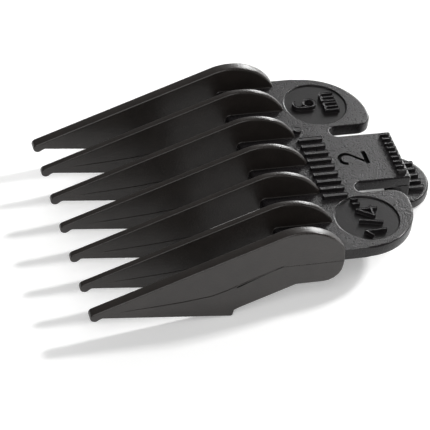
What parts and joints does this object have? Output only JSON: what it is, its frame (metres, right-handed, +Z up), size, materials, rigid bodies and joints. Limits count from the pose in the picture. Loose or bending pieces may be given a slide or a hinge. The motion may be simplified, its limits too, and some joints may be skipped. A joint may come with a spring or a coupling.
{
  "type": "clipper guard comb",
  "caption": "Clip-on length guide for a hair clipper: a row of tall tapered teeth on a slotted deck, with a sprung release tongue and thumb tab.",
  "frame": {"origin": "on the surface that the comb lies on, below the middle of its length and width", "axes": "+X across the teeth, +Y from the tooth tips to the thumb tab, +Z up; the comb lies on the heels of its teeth and the back of its tab"},
  "size_m": [0.0428, 0.0607, 0.0146],
  "materials": {
    "nylon": "fine satin mould texture",
    "raised_marks": "same nylon, with the same grain on the raised tops"
  },
  "bodies": {
    "guide": {"deck": "nylon", "tooth_1": "nylon", "tooth_2": "nylon", "tooth_3": "nylon", "tooth_4": "nylon", "tooth_5": "nylon", "tooth_6": "nylon", "tooth_7": "nylon", "left_blade_guide": "nylon", "right_blade_guide": "nylon", "front_bars": "raised_marks", "front_dot": "raised_marks", "metric_mark": "raised_marks", "inch_mark": "raised_marks"},
    "latch": {"release_tongue": "nylon", "latch_wall": "nylon", "latch_hook": "nylon", "thumb_tab": "nylon", "tongue_grip_ribs": "raised_marks", "tab_grip_ribs": "raised_marks"}
  },
  "joints": [
    {"name": "latch_flex", "type": "hinge", "parent": "guide", "child": "latch", "pos_m": [0, 0.01484, 0.00868], "axis": [1, 0, 0], "range_deg": [0, 10], "stiffness_Nm_per_rad": 0.3}
  ]
}
